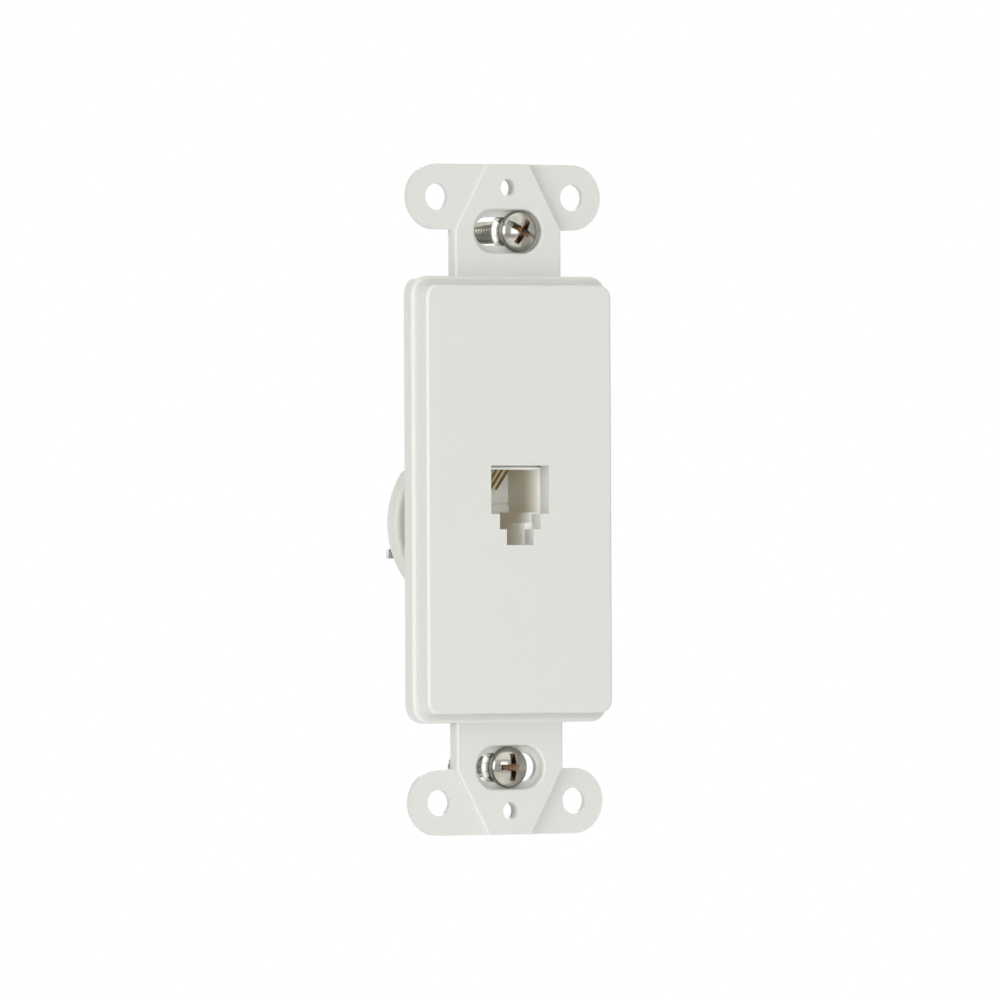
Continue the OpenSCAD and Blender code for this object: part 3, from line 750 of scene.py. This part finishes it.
def cross_cutter(reach, half_width, front, back):
    """A plus sign that narrows towards its bottom."""
    shape = bmesh.new()
    rings = []
    for y, (longer, wider) in ((front, CROSS_MOUTH), (back, CROSS_FLOOR)):
        long, wide = reach * longer, half_width * wider
        quarter = [(long, -wide), (long, wide), (wide, wide)]
        ring = []
        for i in range(4):
            c, s = round(math.cos(math.pi / 2 * i)), round(math.sin(math.pi / 2 * i))
            ring += [shape.verts.new((x * c - z * s, y, x * s + z * c)) for x, z in quarter]
        rings.append(ring)
    count = len(rings[0])
    for i in range(count):
        j = (i + 1) % count
        shape.faces.new((rings[0][i], rings[0][j], rings[1][j], rings[1][i]))
    shape.faces.new(rings[0])
    shape.faces.new(rings[1])
    bmesh.ops.recalc_face_normals(shape, faces=shape.faces)
    return shape


def box_cutter(low, high):
    """A plain box from two corners."""
    shape = bmesh.new()
    bmesh.ops.create_cube(shape, size=1)
    size = [h - l for l, h in zip(low, high)]
    middle = [(h + l) / 2 for l, h in zip(low, high)]
    bmesh.ops.scale(shape, vec=size, verts=shape.verts)
    bmesh.ops.translate(shape, vec=middle, verts=shape.verts)
    return shape


def to_object(name, shape, *materials):
    """Turns a bmesh into an object."""
    mesh = bpy.data.meshes.new(name)
    shape.to_mesh(mesh)
    shape.free()
    obj = new_object(name, mesh)
    paint(obj, *materials)
    return obj


def cut(obj, cutter):
    """Takes the cutter away from the object."""
    tool = obj.modifiers.new("cut", "BOOLEAN")
    tool.operation = "DIFFERENCE"
    tool.solver = "EXACT"
    tool.object = cutter
    settle(obj)
    bpy.data.objects.remove(cutter, do_unlink=True)


print("a drive is a slot and a cross")

# %% [markdown]
# ## Threads
# A thread is a ridge that winds round the shank once per pitch. The shank is a stack of rings whose
# radius follows a sawtooth, and the sawtooth's phase depends on both the height and the angle, so the
# ridges form a true helix. It fades in from the plain neck over the first rings.

# %% Wind a thread
THREAD_SIDES = 36
RINGS_PER_PITCH = 8
FADE_RINGS = 6
FLANK = 1.25
NECK_STEP = 0.02 * MM
TIP_STEP = 0.01 * MM
TIP_SHARE = 0.72


def thread_shape(radius, depth, pitch, neck_r, sections):
    """A rod about Y: the neck, then a helical thread, then a blunt tip."""
    head_end, thread_start, thread_end, tip_end = sections
    core = radius - depth
    shape = bmesh.new()
    rings = []

    def ring(y, radius_at):
        turn = [2 * math.pi * i / THREAD_SIDES for i in range(THREAD_SIDES)]
        corners = [(radius_at(a) * math.cos(a), y, radius_at(a) * math.sin(a)) for a in turn]
        rings.append([shape.verts.new(corner) for corner in corners])

    ring(head_end, lambda a: neck_r)
    ring(thread_start - NECK_STEP, lambda a: neck_r)
    count = int((thread_end - thread_start) / pitch * RINGS_PER_PITCH)
    for i in range(count + 1):
        y = thread_start + (thread_end - thread_start) * i / count
        fade = min(1.0, i / FADE_RINGS)

        def wave(a):
            phase = (y / pitch - a / (2 * math.pi)) % 1.0
            low = abs(2 * phase - 1)
            return neck_r + (radius - depth * min(1.0, FLANK * low) - neck_r) * fade
        ring(y, wave)
    ring(thread_end + TIP_STEP, lambda a: core)
    ring(tip_end, lambda a: core * TIP_SHARE)
    for low, high in zip(rings, rings[1:]):
        for i in range(THREAD_SIDES):
            j = (i + 1) % THREAD_SIDES
            shape.faces.new((low[i], low[j], high[j], high[i]))
    shape.faces.new(rings[0])
    shape.faces.new(rings[-1])
    bmesh.ops.recalc_face_normals(shape, faces=shape.faces)
    return shape


def join(first, second):
    """Puts the second mesh into the first object."""
    shape = bmesh.new()
    shape.from_mesh(first.data)
    shape.from_mesh(second.data)
    shape.to_mesh(first.data)
    shape.free()
    bpy.data.objects.remove(second, do_unlink=True)


print("thread:", RINGS_PER_PITCH, "rings for each turn")

# %% [markdown]
# ## Whole screws
# One function spins the head, cuts both drives, softens their edges, adds the shank and puts the screw
# in its solid's place. It is built at the origin with its head towards the front and moved only then,
# as a mesh, so the object itself stays at the origin.

# %% Build a screw
SLOT_SHARE = 0.45
RECESS_SHARE = 0.72
SLOT_HALF_SHARE = 0.075
CROSS_REACH_SHARE = 0.42
CUTTER_OVER = 0.5 * MM
DRIVE_ROUND = 0.09 * MM
DRIVE_ANGLE = 28
SCREW_ANGLE = 35


def screw(node, place, turn, flip, head, shank):
    """A finished screw in place of its solid."""
    head_d, head_h = head
    half_width = head_d * SLOT_HALF_SHARE
    outline = head_outline(head_d, head_h)
    obj = to_object(node + "_finished", spin(outline, HEAD_STEPS), plated_steel, recess_shade)
    front = -head_h - CUTTER_OVER
    slot = box_cutter((-head_d, front, -half_width), (head_d, -head_h * (1 - SLOT_SHARE), half_width))
    cut(obj, to_object("slot_cutter", slot, plated_steel))
    cross = cross_cutter(head_d * CROSS_REACH_SHARE, half_width, front, -head_h * (1 - RECESS_SHARE))
    recess = to_object("cross_cutter", cross, plated_steel, recess_shade)
    # The recess faces take the painted shade material.
    for face in recess.data.polygons:
        face.material_index = 1
    cut(obj, recess)
    bevel(obj, DRIVE_ROUND, 3, DRIVE_ANGLE)
    join(obj, to_object("rod", thread_shape(*shank), plated_steel))
    smooth(obj, SCREW_ANGLE)
    spun = Matrix.Rotation(turn, 4, "Y")
    if flip:
        spun = Matrix.Rotation(math.pi, 4, "Z") @ spun
    obj.data.transform(Matrix.Translation(place) @ spun)
    print(obj.name, len(obj.data.polygons), "faces")
    return in_place_of(obj, node)


# %% [markdown]
# The two mounting screws sit in the strap's slots, the upper one pushed to the right and turned. Each
# shank is given by its radius, the thread's depth and pitch, the neck's radius and where its sections
# end.

# %% Mounting screws
SEAT_Y = -0.95 * MM
SCREW_Z = 41.65 * MM
UPPER_PLACE = (2.2 * MM, SEAT_Y, SCREW_Z)
LOWER_PLACE = (0, SEAT_Y, -SCREW_Z)
UPPER_TURN = math.radians(30)
MOUNTING_HEAD = (6.3 * MM, 2.35 * MM)
MOUNTING_SECTIONS = (-0.05 * MM, 1.85 * MM, 15.55 * MM, 16.35 * MM)
MOUNTING_SHANK = (1.75 * MM, 0.42 * MM, 0.794 * MM, 1.5 * MM, MOUNTING_SECTIONS)

screw("mounting_screw_upper", UPPER_PLACE, UPPER_TURN, False, MOUNTING_HEAD, MOUNTING_SHANK)
screw("mounting_screw_lower", LOWER_PLACE, 0.0, False, MOUNTING_HEAD, MOUNTING_SHANK)

# %% [markdown]
# The four terminal screws clamp the lugs at the back, so they face the other way. Real screws stop at
# any angle, so each has its own turn.

# %% Terminal screws
TERMINAL_SEAT = 12.95 * MM
TERMINAL_HEAD = (5.5 * MM, 1.7 * MM)
TERMINAL_SECTIONS = (-0.05 * MM, 1.15 * MM, 4.4 * MM, 4.9 * MM)
TERMINAL_SHANK = (1.45 * MM, 0.3 * MM, 0.7 * MM, 1.3 * MM, TERMINAL_SECTIONS)
TERMINAL_TURN = 0.5
UPPER_Z, LOWER_Z = -0.8 * MM, -8.4 * MM
UPPER_X, LOWER_X = 7.8 * MM, 8.5 * MM
TERMINALS = {1: (-UPPER_X, UPPER_Z), 2: (-LOWER_X, LOWER_Z), 3: (LOWER_X, LOWER_Z), 4: (UPPER_X, UPPER_Z)}

for k, (x, z) in TERMINALS.items():
    place = (x, TERMINAL_SEAT, z)
    screw(f"terminal_screw_{k}", place, TERMINAL_TURN * k, True, TERMINAL_HEAD, TERMINAL_SHANK)

# %% [markdown]
# ## Wires
# The contacts, the leads and their copper cores share one Geometry Nodes tree. It turns a chain of
# points into a curve, spaces its points evenly and sweeps a circle along it. The inputs have names, so
# a wire's radius or finish can change without touching the tree. Each result is kept as a plain mesh.

# %% Tree for a tube along a path
def tube_tree():
    """Geometry Nodes: a round tube along the edges of a mesh."""
    tree = bpy.data.node_groups.new("tube_along_path", "GeometryNodeTree")
    tree.interface.new_socket("Path", in_out="INPUT", socket_type="NodeSocketGeometry")
    for label, kind, value in (("Radius", "NodeSocketFloat", 0.001), ("Spacing", "NodeSocketFloat", 0.0002),
                               ("Sides", "NodeSocketInt", 16)):
        tree.interface.new_socket(label, in_out="INPUT", socket_type=kind).default_value = value
    tree.interface.new_socket("Finish", in_out="INPUT", socket_type="NodeSocketMaterial")
    tree.interface.new_socket("Tube", in_out="OUTPUT", socket_type="NodeSocketGeometry")
    start, end = tree.nodes.new("NodeGroupInput"), tree.nodes.new("NodeGroupOutput")
    curve = add(tree, "GeometryNodeMeshToCurve")
    even = add(tree, "GeometryNodeResampleCurve", mode="LENGTH")
    circle = add(tree, "GeometryNodeCurvePrimitiveCircle")
    sweep = add(tree, "GeometryNodeCurveToMesh")
    sweep.inputs["Fill Caps"].default_value = True
    whole = add(tree, "GeometryNodeRealizeInstances")
    finish = add(tree, "GeometryNodeSetMaterial")
    link(tree, start, "Path", curve, "Mesh")
    link(tree, curve, "Curve", even, "Curve")
    link(tree, start, "Spacing", even, "Length")
    link(tree, start, "Sides", circle, "Resolution")
    link(tree, start, "Radius", circle, "Radius")
    link(tree, even, "Curve", sweep, "Curve")
    link(tree, circle, "Curve", sweep, "Profile Curve")
    link(tree, sweep, "Mesh", whole, "Geometry")
    link(tree, whole, "Geometry", finish, "Geometry")
    link(tree, start, "Finish", finish, "Material")
    link(tree, finish, "Geometry", end, "Tube")
    return tree


TUBE = tube_tree()
print("tree:", TUBE.name)

# %% [markdown]
# One wire is that tree used once: a chain of points goes in and a plain mesh comes out. The direction of
# a swept circle depends on its path, so the normals are made to point outwards afterwards.

# %% One tube
TUBE_ANGLE = 50


def tube(name, points, radius, material, spacing, sides=20):
    """A tube along points given in millimetres."""
    mesh = bpy.data.meshes.new(name)
    steps = [(i, i + 1) for i in range(len(points) - 1)]
    mesh.from_pydata([Vector(p) * MM for p in points], steps, [])
    obj = new_object(name, mesh)
    tool = obj.modifiers.new("tube", "NODES")
    tool.node_group = TUBE
    values = {"Radius": radius, "Spacing": spacing, "Sides": sides, "Finish": material}
    for item in TUBE.interface.items_tree:
        if item.item_type == "SOCKET" and item.in_out == "INPUT" and item.name in values:
            tool[item.identifier] = values[item.name]
    settle(obj)
    shape = bmesh.new()
    shape.from_mesh(obj.data)
    bmesh.ops.recalc_face_normals(shape, faces=shape.faces)
    shape.to_mesh(obj.data)
    shape.free()
    smooth(obj, TUBE_ANGLE)
    return obj


print("tubes are smooth below", TUBE_ANGLE, "degrees")

# %% [markdown]
# The contact springs are one gold plated wire each: along the comb, round the nose and down into the
# plug cavity. The tip is rounded by adding a small ball, as a sheared and tumbled wire end has.

# %% Contact wires
WIRE_PITCH = 1.02
WIRE_R = 0.225
WIRE_Z = 6.6
NOSE_Y = 1.2
NOSE_R = 1.0
NOSE_STEPS = 24
SLOPE = math.radians(39)
SPRING_L = 5.3
TAIL_END = 9.85
TIP_BALL = 0.995
SPRING_SPACING = 0.12 * MM


def wire_x(k):
    """Sideways place of wire k in the comb, in millimetres."""
    return (k - 2.5) * WIRE_PITCH


def spring_points(k):
    """The route of one spring, in millimetres."""
    x = wire_x(k)
    middle = WIRE_Z - NOSE_R
    bend = math.pi - SLOPE
    points = [(x, TAIL_END, WIRE_Z)]
    for i in range(NOSE_STEPS + 1):
        a = bend * i / NOSE_STEPS
        points.append((x, NOSE_Y - NOSE_R * math.sin(a), middle + NOSE_R * math.cos(a)))
    _, y, z = points[-1]
    reach = SPRING_L - WIRE_R
    points.append((x, y + reach * math.cos(SLOPE), z - reach * math.sin(SLOPE)))
    return points


def round_tip(obj, point, radius):
    """Adds a half buried ball to the end of a wire."""
    shape = bmesh.new()
    shape.from_mesh(obj.data)
    bmesh.ops.create_icosphere(shape, subdivisions=3, radius=radius,
                               matrix=Matrix.Translation(Vector(point) * MM))
    shape.to_mesh(obj.data)
    shape.free()
    obj.data.shade_smooth()


for k in range(1, 5):
    wire = tube(f"contact_wire_{k}_finished", spring_points(k), WIRE_R * MM, gold_contact, SPRING_SPACING)
    round_tip(wire, spring_points(k)[-1], WIRE_R * TIP_BALL * MM)
    in_place_of(wire, f"contact_wire_{k}")
print("contact wires:", len(wire.data.polygons), "faces each")

# %% [markdown]
# Each insulated lead leaves the comb, drops behind the base and turns into its lug. The insulation is
# stripped just before the crimp barrel, and the copper runs on into it.

# %% Leads
LEAD_R = 0.45
COPPER_R = 0.28
BARREL_Y = 12.9
DROP_BEND = 2.9
SIDE_BEND = 1.1
BEND_STEPS = 12
BARREL_NEAR = 3.3
BARREL_L = 2.0
CRIMPED_SHARE = 0.9
STRIPPED = 0.35
LEAST_RUN = 0.05
LEAD_SPACING = 0.2 * MM
COPPER_SIDES = 12


def lead_points(k, end_x):
    """The route of one lead, in millimetres, ending at end_x."""
    x = wire_x(k)
    side = -1 if k < 3 else 1
    z = TERMINALS[k][1] / MM
    drop_y, drop_z = BARREL_Y - DROP_BEND, WIRE_Z - DROP_BEND
    quarter = [math.pi / 2 * i / BEND_STEPS for i in range(BEND_STEPS + 1)]
    points = [(x, TAIL_END, WIRE_Z)]
    points += [(x, drop_y + DROP_BEND * math.sin(a), drop_z + DROP_BEND * math.cos(a)) for a in quarter]
    for a in quarter:
        out = side * SIDE_BEND * (1 - math.cos(a))
        points.append((x + out, BARREL_Y, z + SIDE_BEND - SIDE_BEND * math.sin(a)))
    points.append((side * end_x, BARREL_Y, z))
    return points


for k, colour in enumerate(LEAD_COLOURS, 1):
    mouth = abs(TERMINALS[k][0]) / MM - BARREL_NEAR - BARREL_L
    skin_end = max(mouth - STRIPPED, abs(wire_x(k)) + SIDE_BEND + LEAST_RUN)
    skin = lead_points(k, skin_end)
    lead = tube(f"lead_wire_{k}_finished", skin, LEAD_R * MM, insulation[colour], LEAD_SPACING)
    bare = lead_points(k, mouth + BARREL_L * CRIMPED_SHARE)[-2:]
    copper = tube("copper", bare, COPPER_R * MM, copper_strand, LEAD_SPACING, COPPER_SIDES)
    lead.data.materials.append(copper_strand)
    for face in copper.data.polygons:
        face.material_index = 1
    join(lead, copper)
    in_place_of(lead, f"lead_wire_{k}")
print("leads:", len(lead.data.polygons), "faces each")

# %% [markdown]
# ## Spade lugs
# A spade lug is stamped flat and rolled into a barrel at one end. The plate's outline is the outer arc,
# the neck that runs to the barrel and the open slot, pulled to the sheet's thickness.

# %% Lug plate
LUG_BACK = 11.9
LUG_T = 0.45
LUG_R = 2.7
FORK_HALF = 1.6
BARREL_R = 0.95
RIM_STEPS = 40
FORK_STEPS = 16


def lug_outline():
    """Points of the fork and its strip, in millimetres, its open end towards -X."""
    open_edge = math.asin(FORK_HALF / LUG_R)
    sweep = 2 * math.pi - 2 * open_edge
    outer = []
    for i in range(RIM_STEPS + 1):
        a = math.pi - open_edge - sweep * i / RIM_STEPS
        outer.append((LUG_R * math.cos(a), LUG_R * math.sin(a)))
    upper = [p for p in outer if p[1] > 0 and not (p[0] > 0 and p[1] < BARREL_R)]
    lower = [p for p in outer if p[1] < 0 and not (p[0] > 0 and p[1] > -BARREL_R)]
    neck = [(BARREL_NEAR, BARREL_R), (BARREL_NEAR, -BARREL_R)]
    inner = []
    for i in range(FORK_STEPS + 1):
        a = -math.pi / 2 + math.pi * i / FORK_STEPS
        inner.append((FORK_HALF * math.cos(a), FORK_HALF * math.sin(a)))
    return upper + neck + lower + inner


def lug_plate():
    """The outline as a flat plate."""
    shape = bmesh.new()
    outline = lug_outline()
    front, back = [[shape.verts.new((x * MM, y * MM, z * MM)) for x, z in outline]
                   for y in (LUG_BACK, LUG_BACK + LUG_T)]
    count = len(outline)
    for i in range(count):
        j = (i + 1) % count
        shape.faces.new((front[i], front[j], back[j], back[i]))
    shape.faces.new(front)
    shape.faces.new(back)
    bmesh.ops.recalc_face_normals(shape, faces=shape.faces)
    return shape


print("lug outline:", len(lug_outline()), "points")

# %% [markdown]
# The barrel is a tube of rings in mesh code, outwards along its skin and back along its bore. The
# crimping tool's two dents are rings that are squeezed inwards on one side.

# %% Crimped barrel
BARREL_BORE = 0.5
BARREL_SIDES = 24
BARREL_RINGS = 20
DENTS = (0.3, 0.72)
DENT_WIDTH = 0.1
DENT_DEPTH = 0.24
DENT_ROUND = 0.7


def barrel_radius(inner, share, a):
    """The barrel's radius at a share of its length and an angle, less where it is dented."""
    if inner:
        return BARREL_BORE
    dent = max(math.exp(-((share - c) / DENT_WIDTH) ** 2) for c in DENTS)
    return BARREL_R - DENT_DEPTH * dent * max(0.0, math.sin(a)) ** DENT_ROUND


def barrel_tube():
    """The crimped barrel, open at both ends, with two dents."""
    shape = bmesh.new()
    rings = []
    along = range(BARREL_RINGS + 1)
    for inner, order in ((False, along), (True, reversed(along))):
        for i in order:
            share = i / BARREL_RINGS
            x = (BARREL_NEAR + BARREL_L * share) * MM
            ring = []
            for j in range(BARREL_SIDES):
                a = 2 * math.pi * j / BARREL_SIDES
                r = barrel_radius(inner, share, a)
                ring.append(shape.verts.new((x, (BARREL_Y + r * math.sin(a)) * MM, r * math.cos(a) * MM)))
            rings.append(ring)
    for low, high in zip(rings, rings[1:] + rings[:1]):
        for j in range(BARREL_SIDES):
            n = (j + 1) % BARREL_SIDES
            shape.faces.new((low[j], low[n], high[n], high[j]))
    bmesh.ops.recalc_face_normals(shape, faces=shape.faces)
    return shape


print("barrel:", BARREL_RINGS, "rings,", len(DENTS), "dents")

# %% [markdown]
# Plate and barrel are one lug. The barrels point to the middle, so the lugs at the right are turned
# round: a rotation rather than a mirror, which would turn the faces inside out.

# %% Lugs in their places
LUG_EDGE = 0.06 * MM
LUG_EDGE_ANGLE = 40
LUG_SMOOTH_ANGLE = 35

for k, (x, z) in TERMINALS.items():
    lug = to_object(f"spade_lug_{k}_finished", lug_plate(), tinned_brass)
    bevel(lug, LUG_EDGE, 2, LUG_EDGE_ANGLE)
    join(lug, to_object("barrel", barrel_tube(), tinned_brass))
    turn = Matrix.Rotation(math.pi, 4, "Y") if x > 0 else Matrix.Identity(4)
    lug.data.transform(Matrix.Translation((x, 0, z)) @ turn)
    smooth(lug, LUG_SMOOTH_ANGLE)
    in_place_of(lug, f"spade_lug_{k}")
print("lugs:", len(lug.data.polygons), "faces each")

# %% [markdown]
# ## End

# %% End
print("the scene is built")
